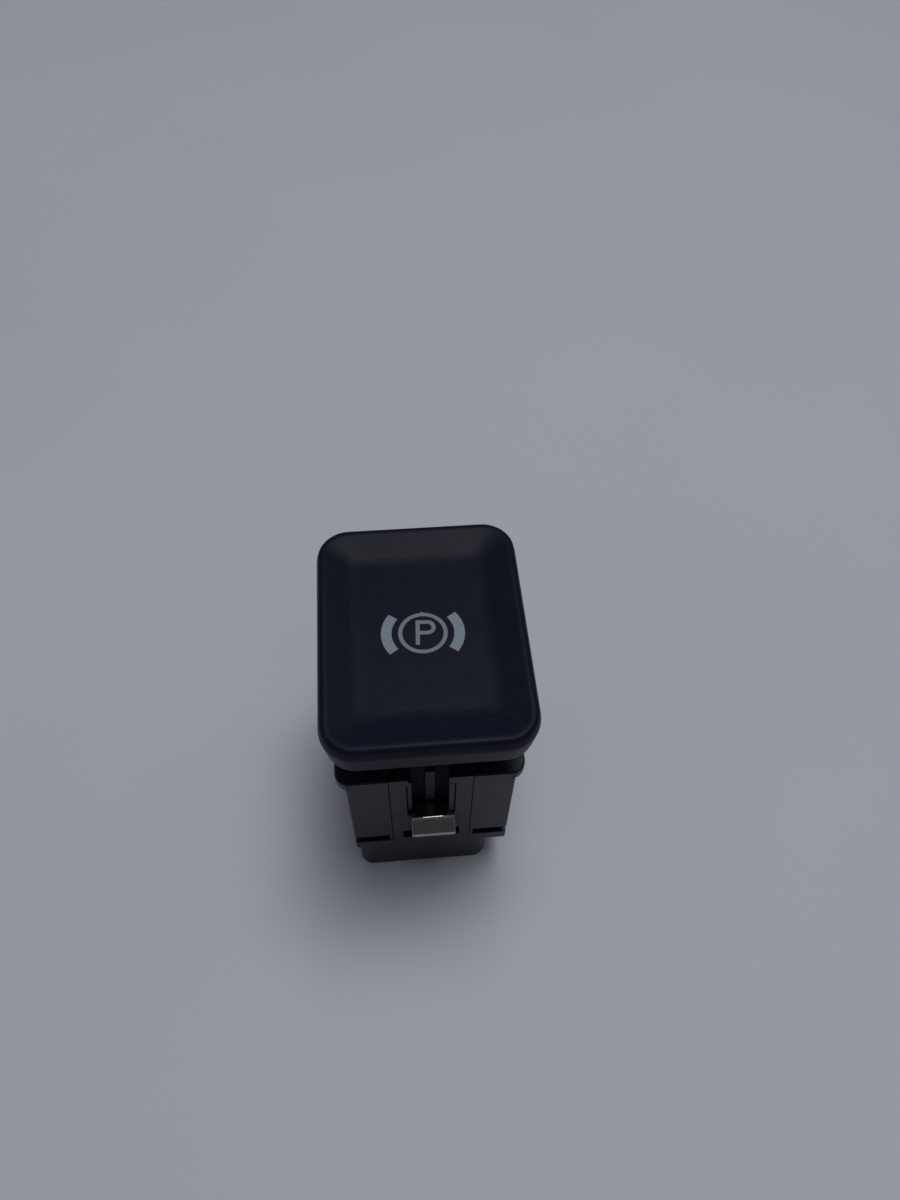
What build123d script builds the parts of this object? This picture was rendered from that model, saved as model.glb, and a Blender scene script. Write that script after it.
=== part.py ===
from build123d import *
from math import atan2, degrees
import os

# Parking brake switch, in millimetres. +Z is up, against the press of the button.
# The origin lies on the floor under the middle of the part, which stands on its connector shroud.
# X runs across the switch, and -Y is the side that faces the driver.

# Cap
cap_width = 27.5  # at the belly, the widest line round the cap
cap_depth = 34.4
cap_height = 5.7  # outer wall, from the lower edge of the skirt to the rim
cap_corner = 4.6
cap_wall = 1.5
belly_drop = 1.7  # from the rim down to the belly
belly_radius = 2.5
skirt_lean = 0.58  # how far the skirt leans in from the belly to its lower edge
skirt_edge = 0.3  # chamfer
rim_lean = 0.42  # how far the wall leans in from the belly to the rim
rim_radius = 0.72
rim_width = 1.3  # from the belly line to the dish
dish_depth = 1.2
dish_border = 3.75  # width of the sloping border round the flat middle
dish_corner = 1.4
dish_crease = 7.0  # radius of the soft crease at the foot of the border
dish_lip = 1.6  # radius where the border meets the rim

# Housing body
body_width = 23.0
body_depth = 29.0
body_corner = 0.3
shell_height = 22.0  # from the seam with the base to the top of the flange
shell_wall = 1.4
flange_overhang = 1.35  # how far the flange stands out at each side
flange_thickness = 1.8
flange_corner = 2.0
flange_edge = 0.2  # chamfer
cap_gap = 9.0  # from the flange up to the skirt
notch_height = 2.2  # corner notches at the foot of the shell
notch_web = 0.6  # left between a notch and the tongue
notch_return = 2.0  # how far a notch runs round the side
window_width = 4.4
window_height = 2.2
window_pitch = 10.0
window_rise = 4.4  # from the seam to the window's lower edge

# Base moulding and connector shroud
base_plate = 2.1
shroud_height = 7.9
shroud_step_left = 0.3  # the keyed shroud sits off centre under the body
shroud_step_right = 2.8
shroud_corner = 2.0
shroud_edge = 0.25  # chamfer
shroud_wall = 1.2
socket_depth = 7.4
socket_lead = 0.25  # chamfer at the mouth
key_width = 1.2
key_height = 0.8
key_pitch = 8.0
upstand_wall = 1.1
upstand_height = 3.0
latch_width = 15.4
latch_height = 7.2
bump_depth = 0.8
fit = 0.1  # gap between mouldings that snap together
same_level = 0.01  # edges and faces nearer than this to a level lie on it

# Tongue with the clip seat, one at the front and one at the back
tongue_width = 11.4
tongue_skin = 1.4  # outer wall of the tongue
tongue_pocket = 1.2  # gap behind it for the clip's inner leg
tongue_back = 1.0
seam_gap = 0.12  # hairline between the tongue and the shell
seat_rise = 9.65  # from the seam to the edge that the clip hooks over
slot_width = 6.85
gate_width = 5.6  # where the slot passes the flange, off centre
gate_shift = -0.35
rail_width_left = 0.55
rail_width_right = 0.75
rail_set_back = 0.5  # of the left rail behind the tongue's face
rail_gap = 0.18
rail_clear = 0.4  # from the clip up to the rails
rib_width = 1.3
rib_proud = 0.7
foot_window_width = 8.4
foot_window_height = 2.8
foot_window_rise = 0.8
pocket_rise = 4.2  # from the seam to the pocket's floor

# Retaining clip of spring steel
clip_width = 6.2
clip_shift = 0.2
clip_thickness = 0.4
clip_leg = 5.0  # inner leg, down behind the seat
clip_bend = 0.8  # how far it runs out before it turns down
clip_reach = 2.5  # how far its nose stands out of the body
clip_drop = 1.95  # from the upper bend down to the nose
clip_foot_drop = 6.6  # from the nose down to the foot
clip_foot_tuck = 0.3  # how far the foot lies inside the body's face
clip_corner_radius = 0.5
clip_bend_radius = 0.8
clip_nose_radius = 0.6

# Button carrier
plunger_wall = 1.3
plunger_corner = 1.5
slide_gap = 0.3  # round the plunger in its guide
guide_wall = 1.2
guide_clear = 0.5  # from the guide out to the shell's walls and the tongues
guide_below = 10.0  # guide below the top of the flange
guide_above = 2.4  # collar above the flange
travel = 2.4
deck_thickness = 1.4
deck_margin = 1.3  # between the deck and the skirt, where the hooks stand
floor_thickness = 1.4
foot_size = 2.3
foot_height = 1.4
stop_width = 5.0
stop_height = 1.8
hook_thickness = 0.9
hook_width = 4.0
hook_pitch = 12.0
hook_catch = 0.6
hook_nose = 0.8

# Lighting
lens_thickness = 1.2
lens_lap = 1.1  # how far the lens plate lies on the deck round its window
window_ledge = 0.5  # from the plunger's inner walls to the light window at the sides
light_window_depth = 9.0
light_side_gap = 0.8  # round the light guide in that window
light_clear = 0.6  # left between the light guide and the lens at full press
reflector_width = 7.4
reflector_wall = 0.7
reflector_height = 2.6
light_gap = 0.5  # round the reflector in the plunger's floor
light_peg = 1.4
light_collar = 0.8
led_length = 1.6
led_width = 1.4
led_height = 0.8
led_pitch = 3.5

# Circuit board, switching mat and small parts
board_rise = 3.2  # from the base plate to the underside of the board
board_thickness = 1.6
board_clear = 0.4  # from the board to the housing's upstand and tongues
post_size = 2.4
post_inset = 1.4  # from the board's edges to the middle of a post
pip_radius = 0.6
pip_height = 1.2
mat_thickness = 0.8
mat_margin = 0.3
mat_clear = 0.2  # round the reflector
dome_share = 0.76  # of the strip beside the reflector that a dome takes up
dome_slope = 0.9  # how much narrower a dome is at its neck
dome_skin = 0.6
dome_cap = 0.8
resistor_length = 2.0
resistor_width = 1.2
resistor_height = 0.5
resistor_y = 3.0
resistor_pitch = 2.0
diode_length = 2.6
diode_width = 2.0
diode_height = 1.0
diode_y = -2.0

# Terminal pins, two rows of five
pin_size = 0.64
pin_rows = 2
pins_per_row = 5
pin_end_gap = 6.3  # from the socket's end walls to the middle of the last pins
row_pitch = 5.0
pin_recess = 1.4  # from the mouth of the socket to the tips
pin_taper = 0.18
pin_clear = 0.02
pin_hole = 0.9

# Levels and planes that follow from the sizes above
seam_z = shroud_height + base_plate
flange_top_z = seam_z + shell_height
flange_z = flange_top_z - flange_thickness
skirt_z = flange_top_z + cap_gap
cap_top_z = skirt_z + cap_height
belly_z = cap_top_z - belly_drop
dish_floor_z = cap_top_z - dish_depth
ceiling_z = dish_floor_z - cap_wall
deck_top_z = ceiling_z - lens_thickness
deck_z = deck_top_z - deck_thickness
guide_z = flange_top_z - guide_below
board_z = seam_z + board_rise
board_top_z = board_z + board_thickness
plunger_z = guide_z - stop_height
foot_z = plunger_z - foot_height
seat_z = seam_z + seat_rise
front_y = body_depth / 2
tongue_depth = tongue_skin + tongue_pocket + tongue_back
shell_inner_x = body_width / 2 - shell_wall
shell_inner_y = front_y - shell_wall
notch_width = (body_width - tongue_width) / 2 - notch_web
shroud_width = body_width - shroud_step_left - shroud_step_right
shroud_shift = (shroud_step_left - shroud_step_right) / 2
guide_outer_x = shell_inner_x - guide_clear
guide_outer_y = front_y - tongue_depth - guide_clear
plunger_width = 2 * (guide_outer_x - guide_wall - slide_gap)
plunger_depth = 2 * (guide_outer_y - guide_wall - slide_gap)
light_window_width = plunger_width - 2 * (plunger_wall + window_ledge)
board_width = 2 * (shell_inner_x - fit - upstand_wall - board_clear)
board_depth = 2 * (front_y - tongue_depth - board_clear)
post_pitch_x = board_width - 2 * post_inset
post_pitch_y = board_depth - 2 * post_inset
pip_places = ((-post_pitch_x / 2, -post_pitch_y / 2), (post_pitch_x / 2, post_pitch_y / 2))
dome_inset = (board_depth - reflector_width) / 4
dome_pitch_y = board_depth - 2 * dome_inset
dome_radius = dome_inset * dome_share
dome_neck = dome_radius - dome_slope
pin_pitch = (body_depth - 2 * shroud_wall - 2 * pin_end_gap) / (pins_per_row - 1)
skirt_taper = degrees(atan2(skirt_lean, belly_z - skirt_z))
rim_taper = degrees(atan2(rim_lean, belly_drop))
skirt_inner_x = cap_width / 2 - skirt_lean - cap_wall
skirt_inner_y = cap_depth / 2 - skirt_lean - cap_wall
deck_width = 2 * (skirt_inner_x - deck_margin)
deck_depth = 2 * (skirt_inner_y - deck_margin)
both_sides = (-1, 1)

os.makedirs("parts", exist_ok=True)


# Housing base: plate, keyed shroud, tongues with the clip seats, latches and posts
with BuildPart() as housing_base:
    with BuildSketch(Plane.XY.offset(shroud_height)):
        RectangleRounded(body_width, body_depth, body_corner)
    extrude(amount=base_plate)
    with BuildSketch():
        with Locations((shroud_shift, 0)):
            RectangleRounded(shroud_width, body_depth, shroud_corner)
    extrude(amount=shroud_height)
    chamfer(housing_base.faces().sort_by(Axis.Z)[0].edges(), length=shroud_edge)
    with BuildSketch():
        with Locations((shroud_shift, 0)):
            RectangleRounded(
                shroud_width - 2 * shroud_wall,
                body_depth - 2 * shroud_wall,
                shroud_corner - shroud_wall,
            )
    extrude(amount=socket_depth, mode=Mode.SUBTRACT)
    mouth = housing_base.faces().sort_by(Axis.Z)[0].inner_wires()[0].edges()
    chamfer(mouth, length=socket_lead)

    # Key ribs inside the front wall of the socket
    key_y = -(front_y - shroud_wall - key_height / 2)
    with BuildSketch(Plane.XY.offset(2 * socket_lead)):
        with Locations((shroud_shift - key_pitch / 2, key_y), (shroud_shift + key_pitch / 2, key_y)):
            Rectangle(key_width, key_height)
    extrude(amount=socket_depth - 2 * socket_lead)

    # Low rim that locates the shell, taller at the sides where the latches are
    rim_x = 2 * (shell_inner_x - fit)
    rim_y = 2 * (shell_inner_y - fit)
    with BuildSketch(Plane.XY.offset(seam_z)):
        Rectangle(rim_x, rim_y)
        Rectangle(rim_x - 2 * upstand_wall, rim_y - 2 * upstand_wall, mode=Mode.SUBTRACT)
    extrude(amount=upstand_height)
    with BuildSketch(Plane.XY.offset(seam_z)):
        for side in both_sides:
            with Locations((side * (rim_x - upstand_wall) / 2, 0)):
                Rectangle(upstand_wall, latch_width)
    extrude(amount=latch_height)

    # Latch bumps that snap into the shell's windows
    bump_z = seam_z + window_rise + fit
    with BuildSketch(Plane.XY.offset(bump_z)):
        for side in both_sides:
            with Locations(
                (side * (rim_x + bump_depth) / 2, -window_pitch / 2),
                (side * (rim_x + bump_depth) / 2, window_pitch / 2),
            ):
                Rectangle(bump_depth, window_width - 2 * fit)
    extrude(amount=window_height - 2 * fit)
    bump_edges = housing_base.edges().filter_by(Axis.Y).filter_by(
        lambda e: abs(e.center().X) > rim_x / 2 + bump_depth - fit and e.center().Z > bump_z + fit
    )
    chamfer(bump_edges, length=bump_depth - fit)

    # Tongues, closed boxes before the pocket and the slot are cut
    for side in both_sides:
        with BuildSketch(Plane.XY.offset(seam_z)):
            with Locations((0, side * (front_y - tongue_depth / 2))):
                Rectangle(tongue_width, tongue_depth)
        extrude(amount=flange_z - seam_z - seam_gap)
        with BuildSketch(Plane.XY.offset(flange_z - seam_gap)):
            with Locations((0, side * (front_y - (tongue_skin - seam_gap) / 2))):
                Rectangle(tongue_width, tongue_skin - seam_gap)
        extrude(amount=flange_thickness + seam_gap)
        pocket_y = side * (front_y - tongue_skin - tongue_pocket / 2)
        pocket_z = seam_z + pocket_rise
        with BuildSketch(Plane.XY.offset(pocket_z)):
            with Locations((0, pocket_y)):
                Rectangle(slot_width + 2 * rail_gap, tongue_pocket)
        extrude(amount=flange_z - pocket_z, mode=Mode.SUBTRACT)
        with BuildSketch(Plane.XY.offset(seat_z)):
            with Locations((0, side * (front_y - tongue_skin / 2))):
                Rectangle(slot_width, tongue_skin)
        extrude(amount=flange_z - seat_z, mode=Mode.SUBTRACT)
        with BuildSketch(Plane.XY.offset(flange_z)):
            with Locations((gate_shift, side * (front_y - tongue_skin / 2))):
                Rectangle(gate_width, tongue_skin)
        extrude(amount=flange_thickness, mode=Mode.SUBTRACT)
        with BuildSketch(Plane.XY.offset(seam_z + foot_window_rise)):
            with Locations((0, side * (front_y - tongue_skin / 2))):
                Rectangle(foot_window_width, tongue_skin)
        extrude(amount=foot_window_height, mode=Mode.SUBTRACT)

        # Guide rails at the slot's sides and the rib between them, above the clip
        rail_z = seat_z + clip_thickness + rail_clear
        rail_depth = tongue_skin + tongue_pocket
        left_depth = rail_depth - rail_set_back
        left_x = -(slot_width / 2 - rail_gap - rail_width_left / 2)
        right_x = slot_width / 2 - rail_gap - rail_width_right / 2
        rail_back = front_y - rail_depth
        with BuildSketch(Plane.XY.offset(rail_z)):
            with Locations((left_x, side * (rail_back + left_depth / 2))):
                Rectangle(rail_width_left, left_depth)
            with Locations((right_x, side * (rail_back + rail_depth / 2))):
                Rectangle(rail_width_right, rail_depth)
            with Locations((0, side * (rail_back + rib_proud / 2))):
                Rectangle(rib_width, rib_proud)
        extrude(amount=flange_z - seam_gap - rail_z)

    # Posts that carry the board, two of them with a pip that locates it
    with BuildSketch(Plane.XY.offset(seam_z)):
        with GridLocations(post_pitch_x, post_pitch_y, 2, 2):
            Rectangle(post_size, post_size)
    extrude(amount=board_rise)
    with BuildSketch(Plane.XY.offset(board_z)):
        with Locations(*pip_places):
            Circle(pip_radius)
    extrude(amount=pip_height)

    # Holes for the terminal pins
    with BuildSketch(Plane.XY.offset(socket_depth)):
        with Locations((shroud_shift, 0)):
            with GridLocations(row_pitch, pin_pitch, pin_rows, pins_per_row):
                Rectangle(pin_size + 2 * pin_clear, pin_size + 2 * pin_clear)
    extrude(amount=seam_z - socket_depth, mode=Mode.SUBTRACT)
housing_base.part.label = "housing_base"
export_step(housing_base.part, "parts/housing_base.step")


# Housing shell: walls, flange, plunger guide and the cut-outs for the tongues
with BuildPart() as housing_shell:
    with BuildSketch(Plane.XY.offset(seam_z)):
        RectangleRounded(body_width, body_depth, body_corner)
    extrude(amount=flange_z - seam_z)
    with BuildSketch(Plane.XY.offset(flange_z)):
        RectangleRounded(body_width + 2 * flange_overhang, body_depth, flange_corner)
    extrude(amount=flange_thickness)
    chamfer(housing_shell.faces().sort_by(Axis.Z)[-1].edges(), length=flange_edge)
    with BuildSketch(Plane.XY.offset(seam_z)):
        Rectangle(2 * shell_inner_x, 2 * shell_inner_y)
    extrude(amount=flange_z - seam_z, mode=Mode.SUBTRACT)

    # Guide tube, with a low collar above the flange
    bore_width = plunger_width + 2 * slide_gap
    bore_depth = plunger_depth + 2 * slide_gap
    with BuildSketch(Plane.XY.offset(guide_z)):
        RectangleRounded(2 * guide_outer_x, 2 * guide_outer_y, plunger_corner + guide_wall)
    extrude(amount=guide_below + guide_above)
    with BuildSketch(Plane.XY.offset(guide_z)):
        RectangleRounded(bore_width, bore_depth, plunger_corner)
    extrude(amount=guide_below + guide_above, mode=Mode.SUBTRACT)
    collar_top = housing_shell.faces().sort_by(Axis.Z)[-1]
    chamfer(collar_top.outer_wire().edges(), length=guide_wall / 3)

    # Cut-outs that the tongues fill, and the slots that run up through the flange
    cutout_width = tongue_width + 2 * seam_gap
    slot_depth = tongue_skin + tongue_pocket
    for side in both_sides:
        with BuildSketch(Plane.XY.offset(seam_z)):
            with Locations((0, side * (front_y - shell_wall / 2))):
                Rectangle(cutout_width, shell_wall)
        extrude(amount=flange_top_z - seam_z, mode=Mode.SUBTRACT)
        with BuildSketch(Plane.XY.offset(flange_z)):
            with Locations((gate_shift, side * (front_y - slot_depth / 2))):
                Rectangle(gate_width, slot_depth)
        extrude(amount=flange_thickness, mode=Mode.SUBTRACT)

    # Notches at the foot of the four corners
    notch_x = body_width / 2 - notch_width / 2
    with BuildSketch(Plane.XY.offset(seam_z)):
        with GridLocations(2 * notch_x, body_depth - notch_return, 2, 2):
            Rectangle(notch_width, notch_return)
    extrude(amount=notch_height, mode=Mode.SUBTRACT)

    # Latch windows in the side walls
    with BuildSketch(Plane.XY.offset(seam_z + window_rise)):
        with GridLocations(body_width - shell_wall, window_pitch, 2, 2):
            Rectangle(shell_wall, window_width)
    extrude(amount=window_height, mode=Mode.SUBTRACT)
housing_shell.part.label = "housing_shell"
export_step(housing_shell.part, "parts/housing_shell.step")


# Retaining clips: one bent strip of spring steel each, hooked over the tongue's seat
for side, name in ((-1, "front_clip"), (1, "rear_clip")):
    leg_y = front_y - tongue_skin - fit - clip_thickness / 2
    over_z = seat_z + fit + clip_thickness / 2
    nose_z = over_z - clip_drop
    path = [
        (side * leg_y, over_z - clip_leg),
        (side * leg_y, over_z),
        (side * (front_y + clip_bend), over_z),
        (side * (front_y + clip_reach), nose_z),
        (side * (front_y - clip_foot_tuck), nose_z - clip_foot_drop),
    ]
    with BuildPart() as clip:
        with BuildSketch(Plane.YZ.offset(clip_shift)):
            with BuildLine():
                FilletPolyline(*path, radius=[clip_corner_radius, clip_bend_radius, clip_nose_radius])
            trace(line_width=clip_thickness)
        extrude(amount=clip_width / 2, both=True)
    clip.part.label = name
    export_step(clip.part, f"parts/{name}.step")


# Plunger: guided tube with a deck under the cap, a floor with two feet, and stop lugs
with BuildPart() as plunger:
    with BuildSketch(Plane.XY.offset(plunger_z)):
        RectangleRounded(plunger_width, plunger_depth, plunger_corner)
    extrude(amount=deck_top_z - plunger_z)
    with BuildSketch(Plane.XY.offset(plunger_z + floor_thickness)):
        Rectangle(plunger_width - 2 * plunger_wall, plunger_depth - 2 * plunger_wall)
    extrude(amount=deck_z - plunger_z - floor_thickness, mode=Mode.SUBTRACT)
    with BuildSketch(Plane.XY.offset(deck_z)):
        RectangleRounded(deck_width, deck_depth, plunger_corner)
    extrude(amount=deck_thickness)
    with BuildSketch(Plane.XY.offset(deck_z)):
        Rectangle(light_window_width, light_window_depth)
    extrude(amount=deck_thickness, mode=Mode.SUBTRACT)
    with BuildSketch(Plane.XY.offset(plunger_z)):
        Rectangle(reflector_width + 2 * light_gap, reflector_width + 2 * light_gap)
    extrude(amount=floor_thickness, mode=Mode.SUBTRACT)
    with BuildSketch(Plane.XY.offset(foot_z)):
        with GridLocations(0, dome_pitch_y, 1, 2):
            Rectangle(foot_size, foot_size)
    extrude(amount=foot_height)
    with BuildSketch(Plane.XY.offset(guide_z - stop_height)):
        for side in both_sides:
            with Locations((side * (plunger_width + guide_wall + slide_gap) / 2, 0)):
                Rectangle(guide_wall + slide_gap, stop_width)
    extrude(amount=stop_height)
plunger.part.label = "plunger"
export_step(plunger.part, "parts/plunger.step")


# Button cap: walls that lean in below and above the belly, a dish with sloping borders, and hooks
with BuildPart() as button_cap:
    for height, taper in ((cap_top_z - belly_z, rim_taper), (skirt_z - belly_z, skirt_taper)):
        with BuildSketch(Plane.XY.offset(belly_z)):
            RectangleRounded(cap_width, cap_depth, cap_corner)
        extrude(amount=height, taper=taper)
    belly = button_cap.edges().filter_by(lambda e: abs(e.center().Z - belly_z) < same_level)
    fillet(belly, radius=belly_radius)
    chamfer(button_cap.faces().sort_by(Axis.Z)[0].edges(), length=skirt_edge)
    fillet(button_cap.faces().sort_by(Axis.Z)[-1].edges(), radius=rim_radius)

    # Dish
    rim_inner_width = cap_width - 2 * rim_width
    rim_inner_depth = cap_depth - 2 * rim_width
    with BuildSketch(Plane.XY.offset(dish_floor_z)):
        RectangleRounded(rim_inner_width - 2 * dish_border, rim_inner_depth - 2 * dish_border, dish_corner)
    with BuildSketch(Plane.XY.offset(cap_top_z)):
        RectangleRounded(rim_inner_width, rim_inner_depth, cap_corner - rim_width)
    loft(ruled=True, mode=Mode.SUBTRACT)
    flat_faces = button_cap.faces().filter_by(Axis.Z)
    floor_face = flat_faces.filter_by(lambda f: abs(f.center().Z - dish_floor_z) < same_level)
    fillet(floor_face.edges(), radius=dish_crease)
    top_face = button_cap.faces().filter_by(Axis.Z).sort_by(Axis.Z)[-1]
    fillet(top_face.inner_wires()[0].edges(), radius=dish_lip)

    # Hollow from below
    with BuildSketch(Plane.XY.offset(skirt_z)):
        RectangleRounded(2 * skirt_inner_x, 2 * skirt_inner_y, cap_corner - skirt_lean - cap_wall)
    extrude(amount=ceiling_z - skirt_z, mode=Mode.SUBTRACT)

    # Hooks that hold the deck from both sides
    hook_x = deck_width / 2 + fit + hook_thickness / 2
    hook_z = deck_z - fit - hook_nose
    with BuildSketch(Plane.XY.offset(hook_z)):
        with GridLocations(2 * hook_x, hook_pitch, 2, 2):
            Rectangle(hook_thickness, hook_width)
    extrude(amount=ceiling_z - hook_z)
    nose_x = hook_x - (hook_thickness + hook_catch) / 2
    with BuildSketch(Plane.XY.offset(hook_z)):
        with GridLocations(2 * nose_x, hook_pitch, 2, 2):
            Rectangle(hook_catch, hook_width)
    extrude(amount=hook_nose)
button_cap.part.label = "button_cap"
export_step(button_cap.part, "parts/button_cap.step")


# Lens plate under the sign, between the deck and the cap
with BuildPart() as symbol_lens:
    with BuildSketch(Plane.XY.offset(deck_top_z)):
        RectangleRounded(light_window_width + 2 * lens_lap, light_window_depth + 2 * lens_lap, dish_corner)
    extrude(amount=lens_thickness)
symbol_lens.part.label = "symbol_lens"
export_step(symbol_lens.part, "parts/symbol_lens.step")


# Circuit board with holes for the pins and the locating pips
with BuildPart() as circuit_board:
    with BuildSketch(Plane.XY.offset(board_z)):
        Rectangle(board_width, board_depth)
        with Locations((shroud_shift, 0)):
            with GridLocations(row_pitch, pin_pitch, pin_rows, pins_per_row):
                Rectangle(pin_hole, pin_hole, mode=Mode.SUBTRACT)
        with Locations(*pip_places):
            Circle(pip_radius + fit, mode=Mode.SUBTRACT)
    extrude(amount=board_thickness)
circuit_board.part.label = "circuit_board"
export_step(circuit_board.part, "parts/circuit_board.step")


# Switching mat: a web with a hollow dome in front of and behind the lights, under the plunger's feet
dome_height = foot_z - board_top_z
with BuildPart() as switching_mat:
    with BuildSketch(Plane.XY.offset(board_top_z)):
        Rectangle(board_width - 2 * mat_margin, board_depth - 2 * mat_margin)
        Rectangle(reflector_width + 2 * mat_clear, reflector_width + 2 * mat_clear, mode=Mode.SUBTRACT)
    extrude(amount=mat_thickness)
    low = (Align.CENTER, Align.CENTER, Align.MIN)
    with Locations((0, 0, board_top_z)):
        with GridLocations(0, dome_pitch_y, 1, 2):
            Cone(dome_radius, dome_neck, dome_height, align=low)
            Cylinder(dome_neck - dome_skin, dome_height - dome_cap, align=low, mode=Mode.SUBTRACT)
switching_mat.part.label = "switching_mat"
export_step(switching_mat.part, "parts/switching_mat.step")


# White frame round the diodes, which carries the light guide
reflector_top_z = board_top_z + reflector_height
with BuildPart() as led_reflector:
    with BuildSketch(Plane.XY.offset(board_top_z)):
        Rectangle(reflector_width, reflector_width)
        Rectangle(
            reflector_width - 2 * reflector_wall,
            reflector_width - 2 * reflector_wall,
            mode=Mode.SUBTRACT,
        )
    extrude(amount=reflector_height)
led_reflector.part.label = "led_reflector"
export_step(led_reflector.part, "parts/led_reflector.step")


# Light guide: peg and collar on the reflector, and a horn that widens towards the sign
peg_width = reflector_width - 2 * reflector_wall - 2 * fit
collar_top_z = reflector_top_z + light_collar
light_top_z = deck_top_z - travel - light_clear
with BuildPart() as light_guide:
    with BuildSketch(Plane.XY.offset(reflector_top_z - light_peg)):
        Rectangle(peg_width, peg_width)
    extrude(amount=light_peg)
    with BuildSketch(Plane.XY.offset(reflector_top_z)):
        Rectangle(reflector_width - reflector_wall, reflector_width - reflector_wall)
    extrude(amount=light_collar)
    with BuildSketch(Plane.XY.offset(collar_top_z)):
        Rectangle(peg_width, peg_width)
    with BuildSketch(Plane.XY.offset(light_top_z)):
        Rectangle(light_window_width - 2 * light_side_gap, light_window_depth - 2 * light_side_gap)
    loft(ruled=True)
light_guide.part.label = "light_guide"
export_step(light_guide.part, "parts/light_guide.step")


# Light emitting diodes on the board
for side, name in ((-1, "led_front"), (1, "led_rear")):
    with BuildPart() as led:
        with BuildSketch(Plane.XY.offset(board_top_z)):
            with Locations((shroud_shift, side * led_pitch / 2)):
                Rectangle(led_length, led_width)
        extrude(amount=led_height)
        chamfer(led.edges().group_by(Axis.Z)[-1], length=led_height / 4)
    led.part.label = name
    export_step(led.part, f"parts/{name}.step")


# Small parts soldered under the board, between the rows of pins
small_left_x = shroud_shift - resistor_pitch / 2
small_right_x = shroud_shift + resistor_pitch / 2
small_parts = (
    ("resistor_left", small_left_x, resistor_y, resistor_width, resistor_length, resistor_height),
    ("resistor_right", small_right_x, resistor_y, resistor_width, resistor_length, resistor_height),
    ("diode", shroud_shift, diode_y, diode_width, diode_length, diode_height),
)
for name, place_x, place_y, size_x, size_y, size_z in small_parts:
    with BuildPart() as small_part:
        with BuildSketch(Plane.XY.offset(board_z - size_z)):
            with Locations((place_x, place_y)):
                Rectangle(size_x, size_y)
        extrude(amount=size_z)
    small_part.part.label = name
    export_step(small_part.part, f"parts/{name}.step")


# Terminal pins, from the socket up into the board
pin_top_z = board_top_z - fit
pin_places = GridLocations(row_pitch, pin_pitch, pin_rows, pins_per_row).locations
for number, place in enumerate(pin_places, start=1):
    with BuildPart() as pin:
        with BuildSketch(Plane.XY.offset(pin_recess)):
            with Locations((shroud_shift + place.position.X, place.position.Y)):
                Rectangle(pin_size, pin_size)
        extrude(amount=pin_top_z - pin_recess)
        chamfer(pin.edges().group_by(Axis.Z)[0], length=pin_taper)
    pin.part.label = f"pin_{number}"
    export_step(pin.part, f"parts/pin_{number}.step")
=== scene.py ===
"""Looks of a parking brake switch: cap, sign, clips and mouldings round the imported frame."""

import logging
import math
from dataclasses import dataclass, field
from enum import Enum
from typing import Any, Dict, Iterable, List, Optional, Sequence, Tuple, Union

import bmesh
import bpy
from mathutils import Matrix, Vector

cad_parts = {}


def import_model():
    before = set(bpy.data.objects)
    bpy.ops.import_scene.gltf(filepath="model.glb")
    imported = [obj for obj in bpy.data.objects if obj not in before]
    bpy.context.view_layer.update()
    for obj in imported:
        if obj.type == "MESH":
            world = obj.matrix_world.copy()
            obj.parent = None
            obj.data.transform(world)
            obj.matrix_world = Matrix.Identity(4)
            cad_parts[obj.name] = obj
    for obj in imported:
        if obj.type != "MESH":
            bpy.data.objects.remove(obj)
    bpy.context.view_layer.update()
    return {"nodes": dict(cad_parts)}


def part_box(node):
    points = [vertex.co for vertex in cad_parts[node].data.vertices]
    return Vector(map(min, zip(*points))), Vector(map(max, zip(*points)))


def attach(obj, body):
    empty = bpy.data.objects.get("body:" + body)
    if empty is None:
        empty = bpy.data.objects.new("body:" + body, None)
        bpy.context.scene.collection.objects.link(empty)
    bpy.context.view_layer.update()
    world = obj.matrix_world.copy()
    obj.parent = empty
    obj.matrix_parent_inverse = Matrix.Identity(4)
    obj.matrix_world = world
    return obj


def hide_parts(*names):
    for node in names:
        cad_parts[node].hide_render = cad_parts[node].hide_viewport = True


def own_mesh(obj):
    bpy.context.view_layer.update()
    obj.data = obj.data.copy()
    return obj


LOG = logging.getLogger("switch")
MM = 0.001  # metres in one
TOLERANCE = 0.001  # millimetres within which two heights are the same
Key = Union[str, int]
Colour = Tuple[float, float, float]
Point = Tuple[float, float, float]
Point2D = Tuple[float, float]
Span = Tuple[float, float]
Outline = List[Point2D]


class Body(Enum):
    """The rigid bodies of the frame."""

    HOUSING = "housing"
    BUTTON = "button"


class Slot(Enum):
    """The record's material slots."""

    CAP = "soft_cap"
    SIGN = "white_lens"
    STEEL = "spring_steel"
    HOUSING = "black_plastic"
    PIN = "tinned_brass"
    MAT = "silicone"


# Node building


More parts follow.
